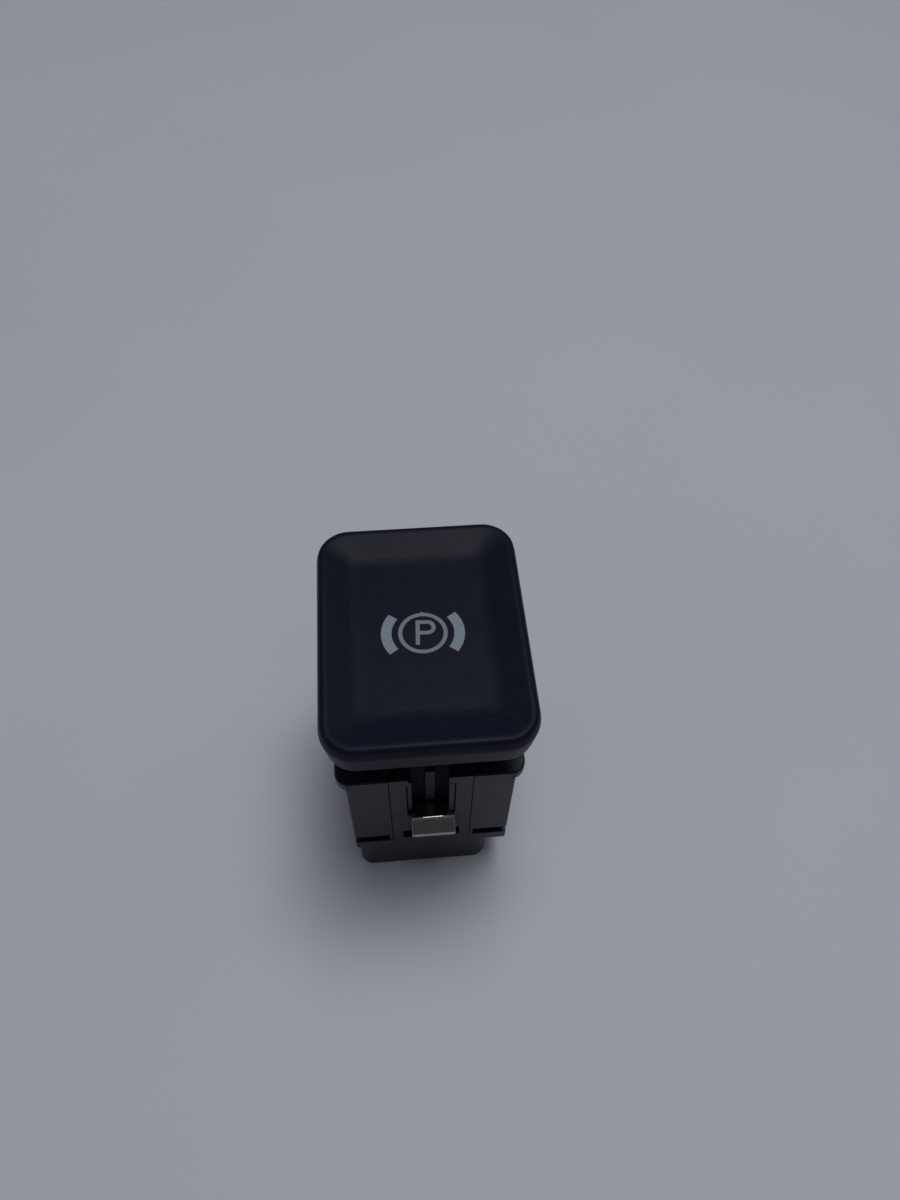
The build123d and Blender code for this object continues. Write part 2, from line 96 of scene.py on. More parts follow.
class Wire:
    """A socket wrapped so that maths on values can be written as an expression."""

    def __init__(self, graph: "Graph", socket: Any) -> None:
        """Wraps an output socket of a graph, or None for a node without one."""
        self.graph = graph
        self.socket = socket

    def _maths(self, operation: str, *values: Any) -> "Wire":
        """Adds one Math node."""
        return self.graph.node("ShaderNodeMath", {"operation": operation}, dict(enumerate(values)))

    def __add__(self, other: Any) -> "Wire":
        """Sum."""
        return self._maths("ADD", self, other)

    __radd__ = __add__

    def __mul__(self, other: Any) -> "Wire":
        """Product."""
        return self._maths("MULTIPLY", self, other)

    __rmul__ = __mul__

    def __sub__(self, other: Any) -> "Wire":
        """Difference."""
        return self._maths("SUBTRACT", self, other)

    def __rsub__(self, other: Any) -> "Wire":
        """Difference with the number first."""
        return self._maths("SUBTRACT", other, self)

    def __abs__(self) -> "Wire":
        """Size without its sign."""
        return self._maths("ABSOLUTE", self)

    def __gt__(self, other: Any) -> "Wire":
        """One where this value is the larger, and zero elsewhere."""
        return self._maths("GREATER_THAN", self, other)

    def between(self, low: float, high: float) -> "Wire":
        """One where the value lies between two numbers, and zero elsewhere."""
        return (self > low) * (1.0 - (self > high))

    def clamped(self, low: float, high: float) -> "Wire":
        """The value spread from low..high to 0..1 and held there.

        Args:
            low: The value that becomes 0.
            high: The value that becomes 1.

        Returns:
            The new value.
        """
        values = {"Value": self, "From Min": low, "From Max": high}
        return self.graph.node("ShaderNodeMapRange", {"clamp": True}, values)


class Graph:
    """Makes the nodes of one tree."""

    def __init__(self, tree: bpy.types.NodeTree) -> None:
        """Takes a tree and clears its first nodes away."""
        self.tree = tree
        self.tree.nodes.clear()

    def node(self, kind: str, settings: Optional[Dict[str, Any]] = None,
             values: Optional[Dict[Key, Any]] = None, output: Key = 0) -> Wire:
        """Makes one node.

        Args:
            kind: The node's type.
            settings: Its properties, set before its inputs.
            values: Its inputs by name or number, each a wire or the socket's own value.
            output: The output that the result wraps.

        Returns:
            The wrapped output.
        """
        made = self.tree.nodes.new(kind)
        for key, value in (settings or {}).items():
            setattr(made, key, value)
        for key, value in (values or {}).items():
            socket = made.inputs[key]
            if isinstance(value, Wire):
                self.tree.links.new(value.socket, socket)
            elif socket.type == "RGBA" and len(value) == 3:
                socket.default_value = (*value, 1.0)
            else:
                socket.default_value = value
        return Wire(self, made.outputs[output] if made.outputs else None)

    def mix(self, factor: Wire, low: Union[Wire, Colour], high: Union[Wire, Colour]) -> Wire:
        """A colour between two, by a factor."""
        values = {"Factor": factor, 6: low, 7: high}
        return self.node("ShaderNodeMix", {"data_type": "RGBA"}, values, output=2)


@dataclass(frozen=True)
class Grain:
    """Noise of one kind.

    Attributes:
        size_mm: The size of one feature.
        detail: Octaves of finer noise.
        rough: How strong the finer octaves are.
        stretch: Factors along the axes; a small one draws the features out.
    """

    size_mm: float
    detail: float = 2.0
    rough: float = 0.5
    stretch: Point = (1.0, 1.0, 1.0)


class Shader(Graph):
    """Makes one material's nodes, which end in a Principled shader."""

    def __init__(self, name: str) -> None:
        """Starts a material.

        Args:
            name: Its name.
        """
        self.material = bpy.data.materials.new(name)
        self.material.use_nodes = True
        super().__init__(self.material.node_tree)

    def surface(self, **values: Any) -> None:
        """Ends the material in a Principled shader.

        Args:
            **values: Its inputs, with underscores for the spaces in their names.
        """
        named = {key.replace("_", " "): value for key, value in values.items()}
        shaded = self.node("ShaderNodeBsdfPrincipled", {}, named)
        self.node("ShaderNodeOutputMaterial", {}, {"Surface": shaded})

    def axes(self) -> List[Wire]:
        """The three object coordinates, in metres."""
        values = {"Vector": self.node("ShaderNodeTexCoord", output="Object")}
        return [self.node("ShaderNodeSeparateXYZ", {}, values, output=axis) for axis in range(3)]

    def pattern(self, kind: str, settings: Dict[str, Any], size_mm: float,
                stretch: Point = (1.0, 1.0, 1.0), output: Key = 0, **values: float) -> Wire:
        """A texture on the object's coordinates.

        Args:
            kind: The texture node's type.
            settings: Its properties.
            size_mm: The size of one feature.
            stretch: Factors along the axes.
            output: The texture's output.
            **values: Its other inputs.

        Returns:
            The pattern, about 0 to 1.
        """
        spot = {"Vector": self.node("ShaderNodeTexCoord", output="Object"), "Scale": stretch}
        values = {
            "Vector": self.node("ShaderNodeMapping", {}, spot),
            "Scale": 1.0 / (size_mm * MM),
            **values,
        }
        return self.node(kind, settings, values, output)

    def noise(self, grain: Grain) -> Wire:
        """Noise of one kind."""
        return self.pattern("ShaderNodeTexNoise", {}, grain.size_mm, grain.stretch,
                            Detail=grain.detail, Roughness=grain.rough)

    def cells(self, size_mm: float) -> Wire:
        """Distance to the nearest of many scattered points, for a sparked or pebbled grain."""
        return self.pattern("ShaderNodeTexVoronoi", {"feature": "SMOOTH_F1"}, size_mm)

    def bump(self, height: Wire, depth_mm: float) -> Wire:
        """A bump, with what a height of 1 is worth in millimetres."""
        return self.node("ShaderNodeBump", {}, {"Height": height, "Distance": depth_mm * MM})


class NodeTree(Graph):
    """Makes one Geometry Nodes tree with named sizes."""

    def __init__(self, name: str) -> None:
        """Starts a tree with geometry as its first input and its output.

        Args:
            name: The tree's name.
        """
        super().__init__(bpy.data.node_groups.new(name, "GeometryNodeTree"))
        self.sizes: Dict[str, float] = {}
        self._socket("Geometry", "INPUT", "NodeSocketGeometry")
        self._socket("Geometry", "OUTPUT", "NodeSocketGeometry")

    def _socket(self, name: str, way: str, kind: str) -> Any:
        """Adds a socket to the tree's own interface."""
        return self.tree.interface.new_socket(name=name, in_out=way, socket_type=kind)

    def size(self, name: str, value_mm: float) -> Wire:
        """Adds a named size as an input of the tree.

        Args:
            name: The input's name.
            value_mm: Its value in millimetres.

        Returns:
            The size inside the tree, in metres.
        """
        self.sizes[self._socket(name, "INPUT", "NodeSocketFloat").identifier] = value_mm * MM
        return self.node("NodeGroupInput", output=name)

    def start(self) -> Wire:
        """The geometry that comes into the tree."""
        return self.node("NodeGroupInput", output="Geometry")

    def close(self, geometry: Wire, material: bpy.types.Material) -> None:
        """Ends the tree: realised instances, then one material.

        Args:
            geometry: What the tree has made.
            material: The material of all of it.
        """
        real = self.node("GeometryNodeRealizeInstances", {}, {"Geometry": geometry})
        values = {"Geometry": real, "Material": material}
        painted = self.node("GeometryNodeSetMaterial", {}, values)
        self.node("NodeGroupOutput", {}, {"Geometry": painted})

    def run(self, carrier: bpy.types.Object) -> bpy.types.Mesh:
        """Evaluates the tree with its sizes on an object, and removes that object.

        Args:
            carrier: The object whose data the tree starts from.

        Returns:
            The result as a plain mesh.
        """
        modifier = carrier.modifiers.new("build", "NODES")
        modifier.node_group = self.tree
        for identifier, value in self.sizes.items():
            modifier[identifier] = value
        graph = bpy.context.evaluated_depsgraph_get()
        mesh = bpy.data.meshes.new_from_object(carrier.evaluated_get(graph))
        carrier.modifiers.remove(modifier)
        bpy.data.objects.remove(carrier)
        return mesh


# Finishes


@dataclass(frozen=True)
class PaintedLightRecess:
    """A stretch of the surface, alike at the front and the back, with its own roughness and a
    lighter base colour that is painted light in its shade.

    Attributes:
        half_width: Half its size along X.
        inner: Its inner distance from the middle along Y.
        outer: Its outer distance.
        low: Its lowest height.
        high: Its highest height.
        colour: Base colour in it, lighter than the plastic round it: painted light in the shade
            there.
        roughness: Roughness in it.
    """

    half_width: float
    inner: float
    outer: float
    low: float
    high: float
    colour: Colour
    roughness: float

    def mask(self, shader: Shader) -> Wire:
        """One inside the stretch, where its painted light goes, and zero elsewhere.

        Args:
            shader: The material's nodes.

        Returns:
            One where the painted light goes.
        """
        x, y, z = shader.axes()
        inside = 1.0 - (abs(x) > self.half_width * MM)
        inside = inside * abs(y).between(self.inner * MM, self.outer * MM)
        return inside * z.between(self.low * MM, self.high * MM)


@dataclass(frozen=True)
class Coating:
    """What every finish has.

    Attributes:
        name: The material's name.
        colour: Base colour.
    """

    name: str
    colour: Colour

    def shade(self, factor: float) -> Colour:
        """The colour, darker or lighter by a factor."""
        return tuple(min(1.0, channel * factor) for channel in self.colour)

    def lay(self, shader: Shader) -> None:
        """Lays the finish's colour, gloss and relief on a material's nodes."""
        raise NotImplementedError

    def material(self) -> bpy.types.Material:
        """The finish's material, built at its first use.

        Returns:
            The material.
        """
        found = bpy.data.materials.get(self.name)
        if found is None:
            shader = Shader(self.name)
            self.lay(shader)
            found = shader.material
        return found


@dataclass(frozen=True)
class MouldedPlastic(Coating):
    """Injection moulded plastic with the fine sparked grain of its mould.

    Attributes:
        roughness: Middle roughness.
        specular: Strength of the dielectric reflection, 0.5 for plain plastic.
        grain_mm: Size of one grain.
        grain_depth_mm: Depth of the grain.
        fine: Size of the finer grain among it, as a share of its own.
        coarse: The coarse grain's share of the depth; the finer grain has the rest.
        cloud: How much the roughness wanders.
        cloud_mm: Over what distance it does so.
        tone: Noise of the paler and darker patches.
        span: The noise at which they are darkest and palest.
        pale: Factor on the colour in the paler ones.
        dark: Factor on the colour in the darker ones.
        coat: Weight of a thin clear coat.
        painted_light_recesses: Stretches with roughness of their own and a lighter colour that
            paints light into their shade, each laid over the ones before it.
    """

    roughness: float
    specular: float = 0.5
    grain_mm: float = 0.16
    grain_depth_mm: float = 0.012
    fine: float = 0.4
    coarse: float = 0.7
    cloud: float = 0.06
    cloud_mm: float = 5.0
    tone: Grain = Grain(2.2, detail=4.0, rough=0.6)
    span: Span = (0.3, 0.7)
    pale: float = 1.22
    dark: float = 0.86
    coat: float = 0.0
    painted_light_recesses: Tuple[PaintedLightRecess, ...] = ()

    def lay(self, shader: Shader) -> None:
        """Lays the plastic.

        Args:
            shader: The material's nodes.
        """
        grain = shader.cells(self.grain_mm)
        fine = shader.noise(Grain(self.grain_mm * self.fine, detail=3.0))
        cloud = shader.noise(Grain(self.cloud_mm))
        tone = shader.noise(self.tone).clamped(*self.span)
        height = grain * self.coarse + fine * (1.0 - self.coarse)
        colour = shader.mix(tone, self.shade(self.dark), self.shade(self.pale))
        roughness = (cloud - 0.5) * (2.0 * self.cloud) + self.roughness
        # Painted light: each recess lays a lighter base colour over its shaded stretch, with its
        # own roughness.
        for painted_recess in self.painted_light_recesses:
            mask = painted_recess.mask(shader)
            colour = shader.mix(mask, colour, painted_recess.colour)
            roughness = roughness * (1.0 - mask) + mask * painted_recess.roughness
        shader.surface(
            Base_Color=colour,
            Roughness=roughness,
            Specular_IOR_Level=self.specular,
            Coat_Weight=self.coat,
            Normal=shader.bump(height, self.grain_depth_mm),
        )


@dataclass(frozen=True)
class MottledCoating(Coating):
    """A finish that is duller in patches, with gloss and relief that follow noise.

    Attributes:
        patches: The noise of the patches.
        span: The noise at which they are dullest, and at which the colour is full.
        dull: Factor on the colour where it is dullest.
        roughness: Least roughness.
        patch_gloss: What the patches add to it at most.
        relief: The noise of the relief, or None where it follows the patches.
        relief_gloss: What the relief adds to the roughness at most.
        depth_mm: Depth of the relief.
        fixed: The shader's other inputs by name, alike all over.
    """

    patches: Grain
    roughness: float
    depth_mm: float
    dull: float
    span: Span = (0.35, 0.65)
    patch_gloss: float = 0.0
    relief: Optional[Grain] = None
    relief_gloss: float = 0.0
    fixed: Tuple[Tuple[str, float], ...] = ()

    def lay(self, shader: Shader) -> None:
        """Lays the finish.

        Args:
            shader: The material's nodes.
        """
        patches = shader.noise(self.patches)
        relief = shader.noise(self.relief) if self.relief else patches
        full = patches.clamped(*self.span)
        roughness: Union[Wire, float] = self.roughness
        for noise, gloss in ((patches, self.patch_gloss), (relief, self.relief_gloss)):
            if gloss:
                roughness = noise * gloss + roughness
        shader.surface(
            Base_Color=shader.mix(full, self.shade(self.dull), self.colour),
            Roughness=roughness,
            Normal=shader.bump(relief, self.depth_mm),
            **dict(self.fixed),
        )


@dataclass(frozen=True)
class SignPaint(MottledCoating):
    """Light grey printed paint of the sign, slightly uneven where it was laid down."""

    patches: Grain = Grain(0.5, detail=3.0)
    roughness: float = 0.45
    patch_gloss: float = 0.1
    relief: Grain = Grain(0.12)
    depth_mm: float = 0.004
    dull: float = 0.86
    fixed: Tuple[Tuple[str, float], ...] = (("Specular_IOR_Level", 0.4),)


@dataclass(frozen=True)
class RolledSteel(MottledCoating):
    """Bright rolled strip, with rubbed spots and fine lines along the rolling direction."""

    patches: Grain = Grain(1.2, detail=4.0, rough=0.65)
    span: Span = (0.35, 0.7)
    roughness: float = 0.0
    patch_gloss: float = 0.08
    relief: Grain = Grain(0.05, stretch=(1.0, 0.06, 0.06))
    relief_gloss: float = 0.04
    depth_mm: float = 0.0007
    dull: float = 0.8
    fixed: Tuple[Tuple[str, float], ...] = (("Metallic", 1.0),)


@dataclass(frozen=True)
class TinnedMetal(MottledCoating):
    """Matt tin plate on the terminals, drawn out into streaks along them."""

    patches: Grain = Grain(0.2, detail=3.0, stretch=(1.0, 1.0, 0.15))
    span: Span = (0.3, 0.7)
    roughness: float = 0.26
    patch_gloss: float = 0.16
    depth_mm: float = 0.004
    dull: float = 0.75
    fixed: Tuple[Tuple[str, float], ...] = (("Metallic", 1.0),)


@dataclass(frozen=True)
class Silicone(MottledCoating):
    """Translucent grey silicone rubber with a powdery surface."""

    patches: Grain = Grain(0.4, detail=4.0)
    roughness: float = 0.5
    patch_gloss: float = 0.14
    depth_mm: float = 0.01
    dull: float = 0.88
    fixed: Tuple[Tuple[str, float], ...] = (
        ("Subsurface_Weight", 0.15), ("Subsurface_Scale", 0.0006), ("Sheen_Weight", 0.2),
    )


@dataclass(frozen=True)
class PaleTop(MottledCoating):
    """Pale matt table top, very slightly uneven in tone."""

    patches: Grain = Grain(90.0, detail=3.0)
    span: Span = (0.3, 0.7)
    roughness: float = 0.6
    relief: Grain = Grain(1.4, detail=4.0)
    relief_gloss: float = 0.1
    depth_mm: float = 0.01
    dull: float = 0.965
    fixed: Tuple[Tuple[str, float], ...] = (("Specular_IOR_Level", 0.3),)


@dataclass(frozen=True)
class ClearPlastic(Coating):
    """Clear moulded light guide plastic with faint flow marks."""

    flow: Grain = Grain(1.6, stretch=(1.0, 1.0, 0.3))
    flow_colour: Colour = (0.97, 0.98, 0.98)
    flow_gloss: float = 0.06
    flow_depth_mm: float = 0.01
    roughness: float = 0.05
    transmission: float = 0.85
    ior: float = 1.58

    def lay(self, shader: Shader) -> None:
        """Lays the plastic.

        Args:
            shader: The material's nodes.
        """
        flow = shader.noise(self.flow)
        shader.surface(
            Base_Color=shader.mix(flow, self.colour, self.flow_colour),
            Roughness=flow * self.flow_gloss + self.roughness,
            Transmission_Weight=self.transmission,
            IOR=self.ior,
            Normal=shader.bump(flow, self.flow_depth_mm),
        )


@dataclass(frozen=True)
class SolderMask(Coating):
    """Green lacquer on the board, with the copper tracks showing as a lighter raised pattern."""

    track_mm: float = 1.1
    track_pale: float = 1.7
    track_height: float = 0.6
    weave: Grain = Grain(0.3)
    weave_height: float = 0.1
    weave_gloss: float = 0.1
    roughness: float = 0.28
    depth_mm: float = 0.03

    def lay(self, shader: Shader) -> None:
        """Lays the lacquer.

        Args:
            shader: The material's nodes.
        """
        tracks = shader.pattern("ShaderNodeTexBrick", {"offset": 0.5}, self.track_mm, output="Fac")
        weave = shader.noise(self.weave)
        height = tracks * self.track_height + weave * self.weave_height
        shader.surface(
            Base_Color=shader.mix(tracks, self.colour, self.shade(self.track_pale)),
            Roughness=weave * self.weave_gloss + self.roughness,
            Normal=shader.bump(height, self.depth_mm),
        )


# The clip slot and its rib lie in deep shade: their lighter base colours are painted light, while
# the slot's high roughness is the plastic's own.
CLIP_SLOT_PAINTED_LIGHT = PaintedLightRecess(3.5, 11.6, 13.3, 14.0, 31.85, (0.012, 0.016, 0.029), 0.95)
SLOT_RIB_PAINTED_LIGHT = PaintedLightRecess(0.75, 12.0, 13.3, 20.0, 31.85, (0.03, 0.036, 0.046), 0.6)


class Finish(Enum):
    """Every finish on the switch and its table."""

    SOFT_CAP = MouldedPlastic(
        "soft_touch_cap", (0.0074, 0.0108, 0.0225), 0.42, specular=0.1, grain_mm=0.11,
        grain_depth_mm=0.005, cloud=0.03,
    )
    HOUSING = MouldedPlastic(
        "black_housing", (0.008, 0.0116, 0.0225), 0.42, specular=0.34, grain_mm=0.2,
        cloud=0.07, painted_light_recesses=(CLIP_SLOT_PAINTED_LIGHT, SLOT_RIB_PAINTED_LIGHT),
    )
    CARRIER = MouldedPlastic(
        "black_carrier", (0.012, 0.012, 0.0135), 0.48, specular=0.4, grain_mm=0.14,
        grain_depth_mm=0.006,
    )
    WHITE_FRAME = MouldedPlastic("white_frame", (0.78, 0.78, 0.76), 0.5, grain_depth_mm=0.004)
    LENS = MouldedPlastic("milky_lens", (0.72, 0.74, 0.75), 0.4, grain_depth_mm=0.002)
    SMALL_PART = MouldedPlastic("black_small_part", (0.03, 0.03, 0.03), 0.45, grain_depth_mm=0.002)
    DIODE = MouldedPlastic("diode_dome", (0.8, 0.74, 0.42), 0.22, grain_depth_mm=0.001, coat=0.6)
    SIGN = SignPaint("sign_paint", (0.27, 0.335, 0.4))
    SIGN_THIN = SignPaint("sign_paint_thin", (0.235, 0.265, 0.33))
    STEEL = RolledSteel("rolled_spring_steel", (0.48, 0.44, 0.43))
    TIN = TinnedMetal("tinned_terminal", (0.72, 0.7, 0.64))
    SILICONE = Silicone("grey_silicone", (0.46, 0.46, 0.45))
    CLEAR = ClearPlastic("clear_light_guide", (0.9, 0.93, 0.94))
    BOARD = SolderMask("board_lacquer", (0.012, 0.085, 0.035))
    TABLE = PaleTop("pale_table", (0.695, 0.73, 0.79))

    def material(self) -> bpy.types.Material:
        """The finish's material."""
        return self.value.material()


# Mesh helpers


def linked(name: str, data: Any) -> bpy.types.Object:
    """Makes an object and puts it in the scene.

    Args:
        name: Its name.
        data: Its mesh, curve, light or camera.

    Returns:
        The object.
    """
    made = bpy.data.objects.new(name, data)
    bpy.context.scene.collection.objects.link(made)
    return made


def dress(piece: bpy.types.Object, finish: Finish) -> None:
    """Gives a piece its finish in place of any that it has."""
    piece.data.materials.clear()
    piece.data.materials.append(finish.material())


def new_piece(name: str, mesh: bpy.types.Mesh, finish: Finish, body: Body,
              slot: Slot) -> bpy.types.Object:
    """Links a finished mesh as a piece of the switch.

    Args:
        name: The piece's name.
        mesh: Its mesh, in metres in the frame.
        finish: What it is made of.
        body: The body that it moves with.
        slot: The record's material slot; not used.

    Returns:
        The piece's object.
    """
    mesh.name = name
    piece = linked(name, mesh)
    dress(piece, finish)
    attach(piece, body.value)
    LOG.info("%s rides on %s: %d faces", name, body.value, len(mesh.polygons))
    return piece


def box_mm(node: str) -> Tuple[Vector, Vector]:
    """A frame node's lowest and highest corner, in millimetres."""
    low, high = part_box(node)
    return low / MM, high / MM


def rounded_outline(width: float, depth: float, radius: float, corner_steps: int = 10,
                    side_steps: int = 8) -> Outline:
    """Points round a rectangle with round corners, the same number whatever its size.

    Args:
        width: Size along X.
        depth: Size along Y.
        radius: Corner radius.
        corner_steps: Steps in each corner.
        side_steps: Steps along each straight side.

    Returns:
        The points, anticlockwise.
    """
    least = 1e-6
    radius = max(min(radius, width / 2 - least, depth / 2 - least), least)
    points: Outline = []
    corners = ((1, 1, 0), (-1, 1, 90), (-1, -1, 180), (1, -1, 270))
    arcs = []
    for sign_x, sign_y, start in corners:
        middle_x = sign_x * (width / 2 - radius)
        middle_y = sign_y * (depth / 2 - radius)
        arc = []
        for step in range(corner_steps + 1):
            angle = math.radians(start + 90 * step / corner_steps)
            arc.append((middle_x + radius * math.cos(angle), middle_y + radius * math.sin(angle)))
        arcs.append(arc)
    for arc, following in zip(arcs, arcs[1:] + arcs[:1]):
        points.extend(arc)
        (x0, y0), (x1, y1) = arc[-1], following[0]
        for step in range(1, side_steps):
            share = step / side_steps
            points.append((x0 + (x1 - x0) * share, y0 + (y1 - y0) * share))
    return points


def rounded_path(corners: Sequence[Point], steps: int, longest: float = math.inf) -> List[Vector]:
    """Points along a bent line whose corners are arcs.

    Args:
        corners: The two coordinates and the bend radius of each corner, the ends among them.
        steps: Steps in each arc.
        longest: No straight step is longer than this.

    Returns:
        The points in the line's own plane.
    """
    points = [Vector(corners[0][:2])]
    for before, corner, after in zip(corners, corners[1:], corners[2:]):
        here = Vector(corner[:2])
        if not corner[2]:
            points.append(here)
            continue
        inward = (Vector(before[:2]) - here).normalized()
        onward = (Vector(after[:2]) - here).normalized()
        half = inward.angle(onward) / 2
        run = corner[2] / math.tan(half)
        middle = here + (inward + onward).normalized() * (corner[2] / math.sin(half))
        start, end = here + inward * run - middle, here + onward * run - middle
        turn = start.angle_signed(end)
        for step in range(steps + 1):
            points.append(middle + Matrix.Rotation(-turn * step / steps, 2) @ start)
    points.append(Vector(corners[-1][:2]))
    filled = points[:1]
    for before, after in zip(points, points[1:]):
        parts = max(1, math.ceil((after - before).length / longest))
        filled += [before.lerp(after, part / parts) for part in range(1, parts + 1)]
    return filled


def skin(mesh: bmesh.types.BMesh, rings: Sequence[Sequence[Any]], closed: bool = False) -> None:
    """Joins rings of as many vertices each with faces.

    Args:
        mesh: The mesh under construction.
        rings: The rings, in order.
        closed: Whether the last ring joins the first, or both ends are capped.
    """
    pairs = list(zip(rings, rings[1:]))
    if closed:
        pairs.append((rings[-1], rings[0]))
    else:
        mesh.faces.new(rings[0])
        mesh.faces.new(list(reversed(rings[-1])))
    for ring, following in pairs:
        for index in range(len(ring)):
            after = (index + 1) % len(ring)
            mesh.faces.new((ring[index], following[index], following[after], ring[after]))


def plain_mesh(mesh: bmesh.types.BMesh, name: str) -> bpy.types.Mesh:
    """Turns a mesh under construction into a named one.

    Args:
        mesh: The mesh under construction.
        name: The name.

    Returns:
        The named mesh.
    """
    data = bpy.data.meshes.new(name)
    mesh.to_mesh(data)
    mesh.free()
    return data


def finished_mesh(mesh: bmesh.types.BMesh, name: str,
                  sharp_angle: Optional[float] = None) -> bpy.types.Mesh:
    """Turns a mesh under construction into a named one with its faces outward.

    Args:
        mesh: The mesh under construction.
        name: The name.
        sharp_angle: Edges that bend by more degrees stay sharp and the rest are smooth. Without
            it, every face is flat.

    Returns:
        The named mesh.
    """
    bmesh.ops.recalc_face_normals(mesh, faces=mesh.faces)
    data = plain_mesh(mesh, name)
    if sharp_angle is not None:
        data.shade_smooth()
        data.set_sharp_from_angle(angle=math.radians(sharp_angle))
    return data


def arc_points(centre: Point2D, radius: float, start: float, end: float, steps: int) -> Outline:
    """Points along an arc, with angles in degrees."""
    angles = [math.radians(start + (end - start) * step / steps) for step in range(steps + 1)]
    return [(centre[0] + radius * math.cos(a), centre[1] + radius * math.sin(a)) for a in angles]


def contour(mesh: bmesh.types.BMesh, outline: Iterable[Point2D], height: float) -> List[Any]:
    """Adds the vertices of a level outline that is given in millimetres."""
    return [mesh.verts.new((x * MM, y * MM, height * MM)) for x, y in outline]


def add_box(mesh: bmesh.types.BMesh, low: Point, high: Point, edge: float) -> None:
    """Adds a box with softened edges to a mesh under construction.

    Args:
        mesh: The mesh.
        low: The box's lowest corner, in millimetres.
        high: Its highest corner.
        edge: Width of the softened edges.
    """
    low, high = (Vector([value * MM for value in corner]) for corner in (low, high))
    matrix = Matrix.Translation((high + low) / 2) @ Matrix.Diagonal((*(high - low), 1.0))
    made = bmesh.ops.create_cube(mesh, size=1.0, matrix=matrix)
    edges = list({e for v in made["verts"] for e in v.link_edges})
    bmesh.ops.bevel(mesh, geom=edges, offset=edge * MM, segments=2, affect="EDGES", profile=0.5)


# Button cap and its sign


@dataclass
class ButtonCap:
    """The soft-touch cap: walls that lean in above and below the belly, round a bordered dish.

    Sizes are in millimetres, the outer box comes from the frame, and insets are measured inwards
    from the belly line as it would be without its rounding.
    """

    corner: float = 4.6
    wall: float = 1.5
    belly_drop: float = 1.7
    belly_radius: float = 2.5
    skirt_height: float = 5.7
    skirt_inset: float = 0.58
    skirt_edge: float = 0.28
    rim_inset: float = 0.42
    rim_radius: float = 0.72
    dish_inset: float = 1.3
    dish_depth: float = 1.2
    dish_border: float = 3.75
    dish_corner: float = 1.4
    dish_run: float = 7.0
    crease_radius: float = 7.0
    lip_radius: float = 1.6
    least_corner: float = 0.6
    foot_edge: float = 0.12
    ceiling_corner: float = 0.3
    ceiling_run: float = 4.0
    arc_steps: int = 9
    longest_step: float = 1.2
    hook_pitch: float = 12.0
    hook_width: float = 4.0
    hook_gap: float = 0.1
    hook_thickness: float = 0.9
    hook_root: float = 0.2
    hook_reach: float = 0.6
    hook_nose: float = 0.8
    hook_edge: float = 0.08

    def dish_floor(self) -> float:
        """Height of the dish's flat middle."""
        return box_mm("button_cap")[1].z - self.dish_depth

    def section(self, top: float) -> List[Vector]:
        """The cap's section from the middle of the dish over the rim and up under the skirt.

        Args:
            top: Height of the rim.

        Returns:
            Inset and height of each contour.
        """
        floor = top - self.dish_depth
        ceiling = floor - self.wall
        skirt = top - self.skirt_height
        foot = self.dish_inset + self.dish_border
        inner = self.skirt_inset + self.wall
        corners = [
            (foot + self.dish_run, floor, 0.0),
            (foot, floor, self.crease_radius),
            (self.dish_inset, top, self.lip_radius),
            (self.rim_inset, top, self.rim_radius),
            (0.0, top - self.belly_drop, self.belly_radius),
            (self.skirt_inset, skirt, self.skirt_edge),
            (inner, skirt, self.foot_edge),
            (inner, ceiling, self.ceiling_corner),
            (inner + self.ceiling_run, ceiling, 0.0),
        ]
        return rounded_path(corners, self.arc_steps, longest=self.longest_step)

    def contour_corner(self, inset: float, height: float, top: float) -> float:
        """Corner radius of one contour: concentric outside, and tightening down the dish's border.

        Args:
            inset: The contour's inset.
            height: Its height.
            top: Height of the rim.

        Returns:
            The radius.
        """
        concentric = max(self.corner - inset, self.least_corner)
        if inset <= self.dish_inset or height < top - self.dish_depth - TOLERANCE:
            return concentric
        share = min((inset - self.dish_inset) / self.dish_border, 1.0)
        return (self.corner - self.dish_inset) * (1.0 - share) + self.dish_corner * share

    def build(self) -> None:
        """Builds the cap from its contours with its hooks, in place of the plain one."""
        low, high = box_mm("button_cap")
        section = self.section(high.z)
        rounding = min(point.x for point in section)
        width, depth = high.x - low.x + 2 * rounding, high.y - low.y + 2 * rounding
        mesh = bmesh.new()
        rings = []
        for inset, height in section:
            corner = self.contour_corner(inset, height, high.z)
            outline = rounded_outline(width - 2 * inset, depth - 2 * inset, corner)
            rings.append(contour(mesh, outline, height))
        skin(mesh, rings)
        self.add_hooks(mesh, low.z)
        data = finished_mesh(mesh, "button_cap_soft")
        data.shade_smooth()
        piece = new_piece("button_cap_soft", data, Finish.SOFT_CAP, Body.BUTTON, Slot.CAP)
        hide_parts("button_cap")

    def add_hooks(self, mesh: bmesh.types.BMesh, foot: float) -> None:
        """Adds the four hooks that hold the plunger's deck.

        Args:
            mesh: The cap's mesh under construction.
            foot: Height of the skirt's lower edge.
        """
        inner = box_mm("plunger")[1].x + self.hook_gap
        root = self.dish_floor() - self.wall + self.hook_root
        blocks = (
            (inner, inner + self.hook_thickness, root),
            (inner - self.hook_reach, inner + self.hook_gap, foot + self.hook_nose),
        )
        for side in (-1, 1):
            for along in (-1, 1):
                middle = along * self.hook_pitch / 2
                front, back = middle - self.hook_width / 2, middle + self.hook_width / 2
                for near, far, top in blocks:
                    left, right = sorted((side * near, side * far))
                    add_box(mesh, (left, front, foot), (right, back, top), self.hook_edge)


